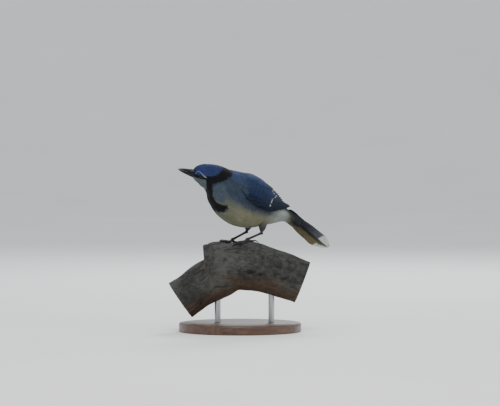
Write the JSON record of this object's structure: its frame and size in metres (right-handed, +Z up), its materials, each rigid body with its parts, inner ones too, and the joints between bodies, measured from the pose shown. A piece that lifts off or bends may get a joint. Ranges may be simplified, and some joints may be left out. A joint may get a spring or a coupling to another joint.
{
  "type": "blue jay on a cut branch, display model",
  "caption": "Life-size still model of a blue jay standing on a short cut length of branch, held over a round base by short rods.",
  "frame": {"origin": "centre of the round base's underside, on the surface that the stand rests on", "axes": "-X the way the bird's body faces, -Y the bird's left side, +Z up"},
  "size_m": [0.2313, 0.164, 0.2264],
  "materials": {
    "blue_plumage": "matt barbed feathers, blue with black bars and white tips",
    "dark_plumage": "matt black feathers of the collar",
    "pale_plumage": "soft matt grey-white feathers",
    "white_plumage": "soft matt white feathers",
    "dark_horn": "satin black horn and scutes",
    "eye": "wet gloss, dark brown",
    "bark": "weathered grey-brown bark with a sawn end",
    "stand_wood": "satin dark stained wood",
    "stand_steel": "satin"
  },
  "bodies": {
    "root": {"head": "blue_plumage", "wing_left": "blue_plumage", "wing_right": "blue_plumage", "tail": "blue_plumage", "neck": "dark_plumage", "torso": "pale_plumage", "thigh_left": "pale_plumage", "thigh_right": "pale_plumage", "rump": "white_plumage", "bill_upper": "dark_horn", "bill_lower": "dark_horn", "shank_left": "dark_horn", "foot_left": "dark_horn", "shank_right": "dark_horn", "foot_right": "dark_horn", "claw_left_1": "dark_horn", "claw_left_2": "dark_horn", "claw_left_3": "dark_horn", "claw_left_4": "dark_horn", "claw_right_1": "dark_horn", "claw_right_2": "dark_horn", "claw_right_3": "dark_horn", "claw_right_4": "dark_horn", "eye_left": "eye", "eye_right": "eye", "perch": "bark", "stand_base": "stand_wood", "stand_rod_1": "stand_steel", "stand_rod_2": "stand_steel"}
  },
  "joints": []
}
